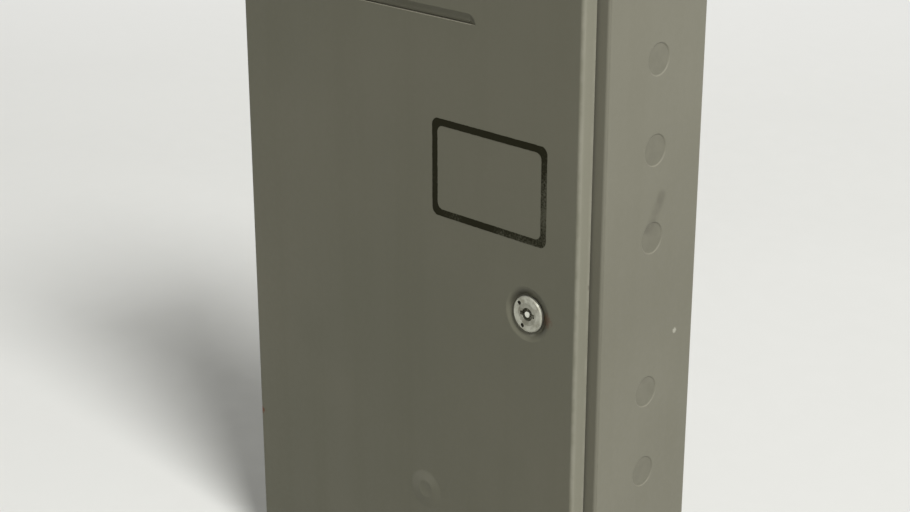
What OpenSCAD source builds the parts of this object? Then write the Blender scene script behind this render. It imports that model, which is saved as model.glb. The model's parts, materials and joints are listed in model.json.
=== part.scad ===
// Wall-mounted steel utility cabinet: a folded case with a sealing lip, a pan-shaped door on
// hidden pivots, a cam lock in a pressed dish, and a small distribution row on a plate inside.
// Millimetres. X runs to the right, Y to the back and Z up, seen from the front.
// The origin is the middle of the case's bottom face.

/* [Case] */
// Width of the case
case_w = 320; // [300:1:400]
// Height of the case
case_h = 520; // [500:1:640]
// Depth of the case without the door
case_d = 92; // [90:1:140]
// Thickness of the sheet of the case and the door
sheet_t = 1.5; // [1.2:0.1:2]
// Outer radius of the folds
bend_r = 2.5; // [2.2:0.1:4]
// Width of the frame round the mouth
frame_w = 25; // [24:0.5:30]
// Corner radius of the mouth
mouth_r = 4; // [1:0.5:12]
// How far the sealing lip stands out of the frame
lip_h = 7; // [4:0.5:8]

/* [Wall fixing] */
// Diameter of the holes for the wall bolts
fixing_d = 8.5; // [5:0.5:11]
// From the sides of the case to the hole centres
fixing_inset_x = 36; // [33:1:42]
// From the top and bottom of the case to the hole centres
fixing_inset_z = 60; // [40:1:120]

/* [Knockouts] */
// Diameter of a half-sheared disc
knockout_d = 19; // [14:0.5:32]
// How far a disc is pushed in
knockout_sink = 0.5; // [0.3:0.1:1.1]
// Width of the sheet's drawn edge round a disc
knockout_draw = 0.8; // [0.2:0.1:1]
// Discs above the middle of each side, and as many below it
knockout_count = 3; // [1:1:3]
// How far the side discs' middle sits above the case's middle
knockout_rise = -1.5; // [-6:0.5:6]
// From the side discs' middle to the first disc
knockout_first = 51.5; // [30:0.5:60]
// From one disc on a side to the next
knockout_pitch = 56; // [40:0.5:60]
// Discs in the top, and as many in the bottom
end_knockouts = 4; // [2:2:4]
// From one disc in the top or bottom to the next
end_knockout_pitch = 60; // [40:1:70]

/* [Door] */
// Strip of the frame that shows round the door
reveal = 9; // [8.5:0.5:11]
// Depth of the door's folded edge
door_d = 11; // [10:0.5:12]
// Gap between the door's folded edge and the frame
door_gap = 1.5; // [1.4:0.1:2.5]
// Width of the foam gasket
gasket_w = 9; // [6:0.5:9.5]
// Gap between the gasket and the lip
gasket_gap = 0.3; // [0.2:0.1:0.6]

/* [Louvre] */
// Length of the louvre's window
louvre_len = 133; // [60:1:200]
// Height of that window
louvre_h = 6.5; // [4:0.5:12]
// How far the pressed slope reaches in at the louvre's slit
louvre_depth = 2.4; // [2.2:0.1:4]
// From the door's top edge to the louvre's slit
louvre_drop = 74.5; // [45:0.5:110]

/* [Hinge] */
// From the door's left face to the hinge axis
hinge_inset_x = 4.2; // [4:0.1:4.3]
// From the door's front to the hinge axis
hinge_inset_y = 4; // [3.9:0.1:4.3]
// Diameter of the hinge pins
pin_d = 4; // [3:0.1:4.4]
// Radial clearance between a pin and its bush
pin_fit = 0.05; // [0.02:0.01:0.1]
// Wall of a bush
bush_wall = 0.7; // [0.5:0.1:0.9]
// Diameter of a bush's collar
collar_d = 7.4; // [6.8:0.1:7.6]
// Thickness of a bush's collar
collar_t = 1; // [0.8:0.1:1.4]
// Gap between a collar and its lug
collar_gap = 0.1; // [0.05:0.05:0.2]
// Thickness of a hinge lug
lug_t = 2.5; // [2:0.1:3]
// Width of the foot that welds a lug to the frame
lug_foot_w = 18; // [12:1:22]
// Height of that foot
lug_foot_h = 5; // [4:0.1:5.2]
// How far a pin reaches into the door behind its edge
pin_reach = 3; // [2:0.5:8]
// Thickness of a pin's head
pin_head_t = 1.2; // [0.8:0.1:1.6]
// Diameter of a pin's head
pin_head_d = 6.4; // [5.5:0.1:7.5]

/* [Lock] */
// From the door's right face to the lock's axis
lock_inset = 39.5; // [39:0.5:42]
// How far the lock sits above the middle of the door
lock_rise = 3; // [-40:1:20]
// Diameter of the pressed dish round the lock
dish_d = 36; // [32:0.5:37]
// Diameter of the dish's flat floor
dish_floor_d = 26; // [25.5:0.5:30]
// Depth of the dish
dish_depth = 2.4; // [2:0.1:3.5]
// Slope at which the dish's rolled rim leaves the door's face, in degrees
dish_rim_angle = 6; // [3:1:12]
// Diameter of the lock's head
lock_head_d = 23.5; // [22:0.1:25]
// Thickness of the lock's head
lock_head_t = 2.2; // [2.2:0.1:4]
// Thickness of the seal under the head
lock_seal_t = 0.6; // [0.5:0.1:1.2]
// Diameter of the lock's barrel
barrel_d = 18; // [17:0.1:19]
// Distance across the barrel's two flats
barrel_flats = 16; // [15:0.1:16.9]
// Gap between the barrel and the pieces it passes through
barrel_gap = 0.1; // [0.05:0.05:0.2]
// Distance across the flats of the lock's nut
lock_nut_af = 24; // [22:0.5:26]
// Thickness of the lock's nut
lock_nut_t = 4; // [3:0.5:5]
// Diameter of the plug that the key turns
plug_d = 13; // [12:0.1:13.6]
// Diameter of the plug's head
plug_head_d = 14.2; // [14.2:0.1:17]
// Thickness of the plug's head
plug_head_t = 1.2; // [0.8:0.1:1.6]
// Clearance between the plug and the lock's housing
plug_fit = 0.05; // [0.02:0.01:0.1]
// Diameter of the key pocket
key_pocket_d = 8.6; // [8:0.1:10]
// Depth of the key pocket
key_pocket_depth = 4; // [3:0.5:5]
// Diameter of the pin in the key pocket
key_pin_d = 3.8; // [2.5:0.1:4]
// Width of the two notches for the key's bits
key_bit_w = 2.6; // [1.5:0.1:3]
// Distance across the two notches
key_bit_span = 11.6; // [11:0.1:12.5]
// Diameter of the index dimples on the lock's head
index_d = 2.8; // [1:0.1:3]
// Wall between an index dimple and the plug's head
index_wall = 0.4; // [0.3:0.1:0.6]
// Depth of the index dimples
index_depth = 0.9; // [0.2:0.1:1.2]

/* [Cam] */
// Reach of the cam from the lock's axis
cam_reach = 45; // [38:0.5:46]
// Width of the cam
cam_w = 16; // [14:0.5:18]
// Thickness of the cam
cam_t = 2.5; // [2:0.1:3]
// Gap between the cam and the back of the frame
cam_gap = 0.8; // [0.4:0.1:1.5]
// Side of the plug's square end
cam_square = 8; // [7:0.1:8.4]
// Diameter of the cam's screw
cam_screw_d = 5; // [4:0.5:5]

/* [Mounting plate] */
// From the sides of the case to the plate
plate_margin_x = 50; // [48:1:60]
// From the top and bottom of the case to the plate
plate_margin_z = 45; // [40:1:55]
// Thickness of the plate
plate_t = 1.5; // [1.2:0.1:2.5]
// Corner radius of the plate
plate_corner_r = 6; // [2:0.5:10]
// Length of the spacers behind the plate
spacer_len = 10; // [8:0.5:14]
// Diameter of the spacers
spacer_d = 12; // [10:0.5:14]
// Diameter of the plate's studs and of the earth studs
stud_d = 6; // [5:0.5:6]
// From the plate's edges to its studs, across
plate_stud_x = 12; // [9:0.5:16]
// From the plate's edges to its studs, up and down
plate_stud_z = 25; // [12:1:40]
// Gap round a stud, screw or bolt in its hole
hole_gap = 0.1; // [0.05:0.05:0.3]
// Length of stud that stands out of a nut
stud_spare = 3; // [1:0.5:6]
// Distance across the flats of a nut
nut_af = 10; // [9:0.5:11]
// Height of a nut with its flange
nut_h = 6; // [5:0.5:8]
// Diameter of a nut's flange
nut_flange_d = 13; // [12:0.5:15]
// Thickness of a nut's flange
nut_flange_t = 1.4; // [1:0.1:2]

/* [Earthing] */
// From the middle of the door to its earth stud
door_stud_x = 22; // [-60:1:60]
// From the door's bottom edge to its earth stud
door_stud_z = 100.5; // [60:0.5:140]
// Length of the door's earth stud
door_stud_len = 14; // [10:0.5:18]
// Diameter of the weld mark that the stud leaves on the front
weld_mark_d = 28; // [14:0.5:32]
// Height of that weld mark
weld_mark_h = 0.6; // [0.4:0.1:1.2]
// Diameter of the dip in the weld mark's middle
weld_dip_d = 14; // [6:0.5:15]
// Depth of that dip
weld_dip = 0.4; // [0.2:0.1:0.7]
// Length of the case's earth stud
case_stud_len = 16; // [10:0.5:20]
// From the lowest side knockout down to the case's earth stud
case_stud_drop = 33; // [24:0.5:36]

/* [Rails] */
// From the plate's side edges to a rail's ends
rail_margin = 5; // [2:0.5:12]
// Height of a rail over its flanges
rail_h = 35; // [32:0.5:36]
// Height of a rail's base
rail_base_h = 27; // [25:0.5:28]
// Depth of a rail
rail_d = 7.5; // [7:0.5:15]
// Sheet of a rail
rail_t = 1; // [0.8:0.1:1.3]
// Length of the slots in a rail's base
rail_slot_len = 15; // [8:1:18]
// Width of those slots
rail_slot_w = 5.2; // [4.2:0.1:6.2]
// From one slot to the next
rail_slot_pitch = 30; // [28:1:33]
// From the plate's top edge to the upper rail's middle
upper_rail_drop = 95; // [75:1:110]
// From the upper rail's middle to the lower rail's middle
rail_pitch = 130; // [115:1:140]
// Diameter of the rail screws' heads
rail_screw_head_d = 9; // [8.5:0.1:11]
// Height of the rail screws' heads
rail_screw_head_h = 3; // [2:0.1:4]
// Diameter of the rail screws
rail_screw_d = 5; // [4:0.5:5]

/* [Switches] */
// Width of one switch module
module_w = 17.5; // [17:0.1:18.5]
// Gap between neighbours on a rail
module_gap = 0.1; // [0.05:0.05:0.4]
// Height of a switch
switch_h = 84; // [76:1:92]
// From the rail's face to a switch's shoulders
shoulder_d = 44; // [40:0.5:48]
// From the rail's face to a switch's nose
nose_d = 60; // [57:0.5:63]
// Height of a switch's nose
nose_h = 45; // [40:0.5:47]
// Gap between a rail and what grips it
rail_fit = 0.15; // [0.05:0.05:0.3]
// How far the hooks reach behind a rail's flange
hook_reach = 2.4; // [1.5:0.1:3]
// Thickness of the hooks
hook_t = 1.8; // [1:0.1:2.5]
// How far a switch reaches behind the rail's face
foot_d = 5; // [4:0.1:6]
// Diameter of the hole over a terminal screw
access_d = 6; // [5:0.1:7]
// Depth of that hole
access_depth = 3.5; // [2:0.1:3.9]
// From a switch's end to its terminal screw
access_inset = 9; // [7:0.5:11]
// Width of a cable entry
entry_w = 9; // [7:0.1:11]
// Height of a cable entry, front to back
entry_h = 8; // [6:0.5:10]
// Depth of a cable entry
entry_depth = 3.5; // [2:0.1:3.9]
// From the rail's face to the middle of a cable entry
entry_d = 30; // [24:0.5:34]

/* [Levers] */
// Width of a breaker's lever
lever_w = 8.4; // [6:0.1:10]
// Width of the main switch's lever
main_lever_w = 25; // [18:0.5:27]
// Radius of a lever's drum
drum_r = 7.5; // [7:0.1:8]
// From the rail's face to a lever's axis
lever_d = 54; // [53:0.5:55]
// Length of a lever from its axis
lever_len = 16.5; // [14:0.5:17]
// Thickness of a lever at its tip
lever_tip_t = 4; // [3:0.1:4.5]
// Thickness of a lever at its drum
lever_root_t = 5; // [4:0.1:5.5]
// Angle of a lever above the horizontal at rest
lever_angle = 38; // [30:1:40]
// Gap round a lever in its slot
lever_gap = 0.3; // [0.2:0.05:0.4]
// Diameter of a lever's stub pins
lever_pin_d = 3; // [2.5:0.1:3.5]
// Length of a lever's stub pins
lever_pin_len = 2; // [1.5:0.1:2.5]
// Radial clearance round a stub pin
lever_pin_fit = 0.05; // [0.02:0.01:0.1]

/* [Terminals] */
// Feed-through terminals on the lower rail
terminal_count = 8; // [2:1:14]
// Earth terminals beside them
earth_terminal_count = 2; // [1:1:4]
// Width of a feed-through terminal
terminal_w = 6.2; // [5:0.1:8]
// Width of an earth terminal
earth_terminal_w = 8.2; // [6:0.1:10]
// Height of a terminal
terminal_h = 48; // [46:1:60]
// From the rail's face to a terminal's front
terminal_d = 40; // [36:0.5:48]
// From the rail's face to a terminal's sloped shoulders
terminal_shoulder_d = 24; // [18:0.5:30]
// Height of a terminal's front
terminal_nose_h = 26; // [20:0.5:34]
// Height of the groove for markers along the terminals' fronts
marker_groove_h = 6; // [4:0.5:7]
// Depth of that groove
marker_groove_d = 1.2; // [0.5:0.1:2]
// Diameter of a terminal's screw and wire holes
terminal_hole_d = 4; // [3:0.1:4.4]
// Depth of those holes
terminal_hole_depth = 6; // [4:0.5:8]
// From the edge of a terminal's front to its screw hole
terminal_hole_inset = 4.8; // [4:0.1:5.5]
// From the rail's face to a terminal's wire holes
terminal_wire_d = 13; // [8:0.5:15]
// Width of an end stop
stop_w = 9; // [6:0.5:12]
// Height of an end stop
stop_h = 46; // [45:1:52]
// From the rail's face to an end stop's front
stop_d = 16; // [10:0.5:24]

/* [Bars] */
// Length of the neutral and earth bars
bar_len = 120; // [100:1:140]
// Height of a bar
bar_h = 14; // [12:0.5:18]
// Thickness of a bar
bar_t = 5; // [4:0.5:7]
// Screws on a bar
bar_screws = 7; // [3:1:8]
// From one screw on a bar to the next
bar_screw_pitch = 12; // [11:0.5:13]
// Diameter of the bar screws
bar_screw_d = 4; // [3:0.5:5]
// Diameter of the bar screws' heads
bar_screw_head_d = 8; // [7:0.5:9]
// Height of the bar screws' heads
bar_screw_head_h = 3; // [2:0.5:4]
// From a bar's ends to its supports
bar_support_inset = 9; // [8.5:0.5:10]
// Diameter of an insulator
insulator_d = 18; // [15:0.5:20]
// Depth of the waists turned in an insulator
insulator_waist = 1.6; // [0.8:0.1:2.4]
// Height of an insulator
insulator_h = 20; // [14:0.5:24]
// Side of an earth bar's block
block_w = 14; // [10:0.5:18]
// Height of an earth bar's block
block_h = 12; // [8:0.5:20]
// From the lower rail's middle to the neutral bar
neutral_drop = 62; // [48:1:66]
// From the neutral bar to the earth bar
bar_pitch = 40; // [30:1:46]

/* [Comb] */
// Thickness of the comb's copper
comb_t = 2; // [1.5:0.1:3]
// Height of the comb's back
comb_h = 10; // [8:0.5:14]
// Width of the comb's prongs
prong_w = 4.5; // [3:0.5:6]
// Wall of the comb's cover
comb_wall = 1.5; // [1:0.1:2]
// Gap between the switches and the comb's cover
comb_gap = 4; // [2:0.5:6]

/* [Hidden] */
$fn = 64;
// Thin slice by which a cut runs past a face
eps = 1;
// Radius of the round whose cap has a given width and height
function cap_radius(w, h) = (w * w / 4 + h * h) / (2 * h);

paint = [0.53, 0.52, 0.46];
zinc = [0.72, 0.73, 0.72];
lock_metal = [0.66, 0.66, 0.62];
foam = [0.10, 0.10, 0.10];
nylon = [0.85, 0.83, 0.76];
case_plastic = [0.80, 0.80, 0.78];
terminal_plastic = [0.62, 0.62, 0.58];
earth_plastic = [0.25, 0.50, 0.20];
lever_black = [0.08, 0.08, 0.09];
lever_red = [0.62, 0.08, 0.06];
brass = [0.75, 0.60, 0.30];
copper = [0.72, 0.42, 0.28];
insulator_blue = [0.15, 0.28, 0.55];

front_y = -case_d / 2;
frame_in = front_y + sheet_t;
back_in = case_d / 2 - sheet_t;
side_in = case_w / 2 - sheet_t;
mid_z = case_h / 2;
mouth_w = case_w - 2 * frame_w;
mouth_h = case_h - 2 * frame_w;

door_w = case_w - 2 * reveal;
door_h = case_h - 2 * reveal;
door_rear = front_y - door_gap;
door_front = door_rear - door_d;
door_in = door_front + sheet_t;
door_top = case_h - reveal;
gasket_y = front_y - lip_h - gasket_gap;

louvre_z = door_top - louvre_drop;
louvre_half = louvre_len / 2 - louvre_h;

hinge_x = -door_w / 2 + hinge_inset_x;
hinge_y = door_front + hinge_inset_y;
bush_r = pin_d / 2 + pin_fit + bush_wall;
lug_z = collar_t + collar_gap;

lock_x = door_w / 2 - lock_inset;
lock_z = mid_z + lock_rise;
dish_y = door_front + dish_depth;
dish_back = dish_y + sheet_t;
dish_wall = (dish_d - dish_floor_d) / 2;
dish_lean = atan2(dish_depth, dish_wall) - dish_rim_angle;
dish_roll_r = norm([dish_wall, dish_depth]) / (2 * sin(dish_lean));
dish_roll_out = dish_d / 2 + dish_roll_r * sin(dish_rim_angle);
dish_roll_y = door_front + dish_roll_r * cos(dish_rim_angle);
head_back = dish_y - lock_seal_t;
head_front = head_back - lock_head_t;
head_chamfer = 0.8;
cam_front = frame_in + cam_gap;
cam_back = cam_front + cam_t;
barrel_end = cam_front - barrel_gap;
plug_front = head_front + plug_fit;
plug_seat = plug_front + plug_head_t;
plug_bore_r = plug_d / 2 + plug_fit;
index_r = (plug_head_d + index_d) / 2 + plug_fit + index_wall;
index_angles = [137, 245];
cam_hub_r = cam_w / 2 + 1;
cam_screw_len = 9;
cam_screw_head_h = 4;
cam_screw_flange_r = 6;
cam_screw_flange_t = 1.2;
cam_screw_af = 8;

knockout_z = mid_z + knockout_rise;
case_stud_z = knockout_z - knockout_first - (knockout_count - 1) * knockout_pitch - case_stud_drop;

plate_w = case_w - 2 * plate_margin_x;
plate_h = case_h - 2 * plate_margin_z;
plate_back = back_in - spacer_len;
plate_front = plate_back - plate_t;
plate_top = case_h - plate_margin_z;
plate_stud_places = [for (sx = [-1, 1], sz = [-1, 1])
    [sx * (plate_w / 2 - plate_stud_x), mid_z + sz * (plate_h / 2 - plate_stud_z)]];
stud_chamfer = 0.8;

rail_face = plate_front - rail_d;
upper_rail_z = plate_top - upper_rail_drop;
lower_rail_z = upper_rail_z - rail_pitch;
rail_len = plate_w - 2 * rail_margin;
rail_slots = floor((rail_len - rail_slot_len - 2 * rail_slot_w) / rail_slot_pitch / 2);
rail_screw_x = rail_slots * rail_slot_pitch;

main_modules = 2;
breaker_count = 5;
row_w = (main_modules + breaker_count) * module_w;
row_x = -row_w / 2;
main_x = row_x + main_modules * module_w / 2;
pole_xs = [for (i = [0 : main_modules + breaker_count - 1]) row_x + (i + 0.5) * module_w];
foot_taper = 4;
nose_taper = 1;
lever_y = rail_face - lever_d;
slot_w = lever_w + 2 * lever_gap;
main_slot_w = main_lever_w + 2 * lever_gap;
pocket_r = drum_r + lever_gap;
lever_swing_z = (nose_d - lever_d) * tan(lever_angle) + lever_root_t / 2 / cos(lever_angle) + lever_gap;
access_z = switch_h / 2 - access_inset;
entry_y = rail_face - entry_d;
screw_head_d = access_d - 0.6;
screw_head_t = 1.5;
screw_slot_w = 1;
screw_slot_depth = 0.8;

terminal_row_w = terminal_count * terminal_w + earth_terminal_count * earth_terminal_w;
terminal_x = -terminal_row_w / 2;
earth_terminal_x = terminal_x + terminal_count * terminal_w;

neutral_z = lower_rail_z - neutral_drop;
earth_z = neutral_z - bar_pitch;
bar_screw_xs = [for (i = [0 : bar_screws - 1]) (i - (bar_screws - 1) / 2) * bar_screw_pitch];
bar_support_xs = [for (s = [-1, 1]) s * (bar_len / 2 - bar_support_inset)];

switch_bottom = upper_rail_z - switch_h / 2;
comb_top = switch_bottom - comb_gap;
comb_xs = [for (i = [main_modules - 1 : main_modules + breaker_count - 1]) pole_xs[i]];
comb_len = comb_xs[len(comb_xs) - 1] - comb_xs[0] + prong_w;
comb_x = (comb_xs[0] + comb_xs[len(comb_xs) - 1]) / 2;
comb_margin = 2;

// Flat shapes

module rounded_rect(w, h, r) {
    square([w - 2 * r, h], center = true);
    square([w, h - 2 * r], center = true);
    for (sx = [-1, 1], sy = [-1, 1])
        translate([sx * (w / 2 - r), sy * (h / 2 - r)])
            circle(r);
}

module slot_outline(length, width) {
    square([length - width, width], center = true);
    for (s = [-1, 1])
        translate([s * (length - width) / 2, 0])
            circle(width / 2);
}

// Extrusions and rods along the three axes

module extrude_x(length) {
    translate([-length / 2, 0, 0])
        rotate([90, 0, 90])
            linear_extrude(length)
                children();
}

module extrude_y(y0, y1) {
    translate([0, y1, 0])
        rotate([90, 0, 0])
            linear_extrude(y1 - y0)
                children();
}

module rod_x(x0, x1, r) {
    translate([x0, 0, 0])
        rotate([0, 90, 0])
            cylinder(h = x1 - x0, r = r);
}

module rod_y(y0, y1, r) {
    translate([0, y0, 0])
        rotate([-90, 0, 0])
            cylinder(h = y1 - y0, r = r);
}

module hex_y(y0, y1, af) {
    translate([0, y0, 0])
        rotate([-90, 0, 0])
            cylinder(h = y1 - y0, r = af / 2 / cos(30), $fn = 6);
}

// Turns a profile of [radius, y] points round the Y axis
module turn_y() {
    rotate([-90, 0, 0])
        rotate_extrude()
            children();
}

// Box with all its edges folded or rounded to one radius, standing on z = 0
module rounded_box(w, d, h, r) {
    intersection() {
        linear_extrude(h)
            rounded_rect(w, d, r);
        translate([0, 0, h / 2])
            extrude_x(w)
                rounded_rect(d, h, r);
        translate([0, 0, h / 2])
            extrude_y(-d / 2, d / 2)
                rounded_rect(w, h, r);
    }
}

// Threaded studs and the nuts on them, pointing along -Y from y = 0

module stud(length) {
    mirror([0, 1, 0])
        turn_y()
            polygon([
                [0, 0],
                [stud_d / 2, 0],
                [stud_d / 2, length - stud_chamfer],
                [stud_d / 2 - stud_chamfer, length],
                [0, length]
            ]);
}

module flange_nut() {
    difference() {
        union() {
            hex_y(-nut_h, -nut_flange_t, nut_af);
            rod_y(-nut_flange_t, 0, nut_flange_d / 2);
        }
        rod_y(-nut_h - eps, eps, stud_d / 2 + hole_gap);
    }
}

// Case

module at_side_knockouts() {
    for (side = [-1, 1], s = [-1, 1], i = [0 : knockout_count - 1])
        translate([side * case_w / 2, 0, knockout_z + s * (knockout_first + i * knockout_pitch)])
            rotate([0, -side * 90, 0])
                children();
}

module at_end_knockouts() {
    for (end = [0, 1], i = [0 : end_knockouts - 1])
        translate([(i - (end_knockouts - 1) / 2) * end_knockout_pitch, 0, end * case_h])
            rotate([end * 180, 0, 0])
                children();
}

// A knockout is worked on with z = 0 on the outer face and +Z into the case
module knockout_disc() {
    translate([0, 0, knockout_sink])
        cylinder(h = sheet_t, d = knockout_d);
}

module knockout_pocket() {
    rim_r = knockout_d / 2 + knockout_draw;
    rotate_extrude()
        polygon([
            [0, -eps],
            [rim_r, -eps],
            [rim_r, 0],
            [knockout_d / 2, knockout_sink],
            [0, knockout_sink]
        ]);
}

module case_shell() {
    difference() {
        rounded_box(case_w, case_d, case_h, bend_r);
        translate([0, 0, sheet_t])
            rounded_box(case_w - 2 * sheet_t, case_d - 2 * sheet_t, case_h - 2 * sheet_t, bend_r - sheet_t);
    }
}

module cabinet_body() {
    color(paint)
        difference() {
            union() {
                case_shell();
                translate([0, 0, mid_z])
                    extrude_y(front_y - lip_h, frame_in)
                        rounded_rect(mouth_w + 2 * sheet_t, mouth_h + 2 * sheet_t, mouth_r + sheet_t);
                at_side_knockouts()
                    knockout_disc();
                at_end_knockouts()
                    knockout_disc();
            }
            translate([0, 0, mid_z])
                extrude_y(front_y - lip_h - eps, frame_in + eps)
                    rounded_rect(mouth_w, mouth_h, mouth_r);
            at_side_knockouts()
                knockout_pocket();
            at_end_knockouts()
                knockout_pocket();
            for (sx = [-1, 1], sz = [-1, 1])
                translate([sx * (case_w / 2 - fixing_inset_x), 0, mid_z + sz * (case_h / 2 - fixing_inset_z)])
                    rod_y(back_in - eps, case_d / 2 + eps, fixing_d / 2);
        }
}

// Hinge: the top one is drawn, with z = 0 on the door's edge, and the bottom one mirrors it

module at_hinge(top) {
    translate([hinge_x, hinge_y, top ? door_top : reveal])
        mirror([0, 0, top ? 0 : 1])
            children();
}

module hinge_lug() {
    lug_r = hinge_inset_y;
    foot_y = front_y - hinge_y;
    difference() {
        union() {
            translate([0, 0, lug_z])
                cylinder(h = lug_t, r = lug_r);
            translate([-lug_r, 0, lug_z])
                cube([2 * lug_r, foot_y, lug_t]);
            translate([-lug_foot_w / 2, foot_y - lug_t, lug_z])
                cube([lug_foot_w, lug_t, lug_foot_h]);
        }
        translate([0, 0, lug_z - eps])
            cylinder(h = lug_t + 2 * eps, r = pin_d / 2 + pin_fit);
    }
}

module hinge_pin() {
    pin_top = lug_z + lug_t;
    translate([0, 0, -sheet_t - pin_reach])
        cylinder(h = pin_top + sheet_t + pin_reach, d = pin_d);
    translate([0, 0, pin_top])
        cylinder(h = pin_head_t, d = pin_head_d);
}

module hinge_bush() {
    difference() {
        union() {
            translate([0, 0, -sheet_t])
                cylinder(h = sheet_t, r = bush_r);
            cylinder(h = collar_t, d = collar_d);
        }
        translate([0, 0, -sheet_t - eps])
            cylinder(h = sheet_t + collar_t + 2 * eps, r = pin_d / 2 + pin_fit);
    }
}

module hinge_lug_top() {
    color(paint)
        at_hinge(true)
            hinge_lug();
}

module hinge_lug_bottom() {
    color(paint)
        at_hinge(false)
            hinge_lug();
}

module hinge_pin_top() {
    color(zinc)
        at_hinge(true)
            hinge_pin();
}

module hinge_pin_bottom() {
    color(zinc)
        at_hinge(false)
            hinge_pin();
}

module hinge_bush_top() {
    color(nylon)
        at_hinge(true)
            hinge_bush();
}

module hinge_bush_bottom() {
    color(nylon)
        at_hinge(false)
            hinge_bush();
}

// Door

// The door's outline set in by a wall all round, open to the back
module door_block(inset, overrun) {
    intersection() {
        translate([0, door_rear, reveal + inset])
            rounded_box(door_w - 2 * inset, 2 * (door_d - inset), door_h - 2 * inset, bend_r - inset);
        translate([-door_w / 2, door_front, reveal])
            cube([door_w, door_d + overrun, door_h]);
    }
}

// Slope that goes in from y down to the slit, with a straight lead before it and a part of a cone at each end
module louvre_slope(y, lead) {
    profile = [
        [0, y - lead],
        [louvre_h, y - lead],
        [louvre_h, y],
        [0, y + louvre_depth]
    ];
    translate([0, 0, louvre_z]) {
        extrude_x(2 * louvre_half)
            polygon([for (p = profile) [p[1], p[0]]]);
        for (s = [-1, 1])
            translate([s * louvre_half, 0, 0])
                intersection() {
                    turn_y()
                        polygon(profile);
                    translate([min(s, 0) * louvre_len, y - 2 * lead, 0])
                        cube([louvre_len, louvre_depth + 4 * lead, 2 * louvre_h]);
                }
    }
}

module weld_mark() {
    cap_r = cap_radius(weld_mark_d, weld_mark_h);
    dip_r = cap_radius(weld_dip_d, weld_dip);
    top_y = door_front - weld_mark_h;
    translate([door_stud_x, 0, reveal + door_stud_z])
        difference() {
            intersection() {
                translate([0, top_y + cap_r, 0])
                    sphere(cap_r);
                rod_y(top_y - eps, door_front + sheet_t / 2, weld_mark_d);
            }
            translate([0, top_y + weld_dip - dip_r, 0])
                sphere(dip_r);
        }
}

module at_lock() {
    translate([lock_x, 0, lock_z])
        children();
}

// Dish with a rolled rim, from y to its floor, and t larger than its inside all round
module dish(y, r, t) {
    turn_y()
        difference() {
            translate([0, y])
                square([r, dish_y + t - y]);
            translate([dish_roll_out, dish_roll_y])
                circle(dish_roll_r - t);
        }
}

// Round outline of the barrel with its two flats
module barrel_outline(gap) {
    intersection() {
        circle(barrel_d / 2 + gap);
        square([barrel_d + 2 * eps, barrel_flats + 2 * gap], center = true);
    }
}

module door_panel() {
    color(paint)
        difference() {
            union() {
                difference() {
                    door_block(0, 0);
                    door_block(sheet_t, eps);
                }
                at_lock()
                    dish(door_front + sheet_t / 2, dish_d / 2 + sheet_t, sheet_t);
                louvre_slope(door_in, sheet_t / 2);
                weld_mark();
            }
            at_lock() {
                dish(door_front - eps, dish_d / 2, 0);
                extrude_y(dish_y - eps, dish_back + eps)
                    barrel_outline(barrel_gap);
            }
            louvre_slope(door_front, eps);
            for (top = [true, false])
                at_hinge(top)
                    translate([0, 0, -sheet_t - eps])
                        cylinder(h = sheet_t + 2 * eps, r = bush_r);
        }
}

module door_gasket() {
    seat_w = mouth_w + sheet_t;
    seat_h = mouth_h + sheet_t;
    seat_r = mouth_r + sheet_t / 2;
    color(foam)
        translate([0, 0, mid_z])
            extrude_y(door_in, gasket_y)
                difference() {
                    rounded_rect(seat_w + gasket_w, seat_h + gasket_w, seat_r + gasket_w / 2);
                    square([seat_w - gasket_w, seat_h - gasket_w], center = true);
                }
}

module door_earth_stud() {
    color(zinc)
        translate([door_stud_x, door_in, reveal + door_stud_z])
            mirror([0, 1, 0])
                stud(door_stud_len);
}

module door_earth_nut() {
    color(zinc)
        translate([door_stud_x, door_in, reveal + door_stud_z])
            mirror([0, 1, 0])
                flange_nut();
}

// Lock

module lock_housing() {
    head_r = lock_head_d / 2;
    color(lock_metal)
        at_lock()
            difference() {
                union() {
                    turn_y()
                        polygon([
                            [0, head_front],
                            [head_r - head_chamfer, head_front],
                            [head_r, head_front + head_chamfer],
                            [head_r, head_back],
                            [0, head_back]
                        ]);
                    extrude_y(head_back - eps, barrel_end)
                        barrel_outline(0);
                }
                rod_y(head_front - eps, barrel_end + eps, plug_bore_r);
                rod_y(head_front - eps, plug_seat + plug_fit, plug_head_d / 2 + plug_fit);
                for (a = index_angles)
                    rotate([0, -a, 0])
                        translate([index_r, 0, 0])
                            rod_y(head_front - eps, head_front + index_depth, index_d / 2);
            }
}

module lock_seal() {
    color(foam)
        at_lock()
            extrude_y(head_back, dish_y)
                difference() {
                    circle(lock_head_d / 2);
                    barrel_outline(barrel_gap);
                }
}

module lock_nut() {
    color(zinc)
        at_lock()
            difference() {
                hex_y(dish_back, dish_back + lock_nut_t, lock_nut_af);
                rod_y(dish_back - eps, dish_back + lock_nut_t + eps, barrel_d / 2 + barrel_gap);
            }
}

module lock_plug() {
    color(lock_metal)
        at_lock()
            difference() {
                union() {
                    rod_y(plug_front, plug_seat, plug_head_d / 2);
                    rod_y(plug_front, barrel_end, plug_d / 2);
                    extrude_y(plug_seat, cam_back - barrel_gap)
                        square(cam_square, center = true);
                }
                difference() {
                    union() {
                        rod_y(plug_front - eps, plug_front + key_pocket_depth, key_pocket_d / 2);
                        extrude_y(plug_front - eps, plug_front + key_pocket_depth)
                            square([key_bit_span, key_bit_w], center = true);
                    }
                    rod_y(plug_front - 2 * eps, plug_front + key_pocket_depth + eps, key_pin_d / 2);
                }
                rod_y(cam_back - cam_screw_len - eps, cam_back + eps, cam_screw_d / 2 + hole_gap);
            }
}

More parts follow.
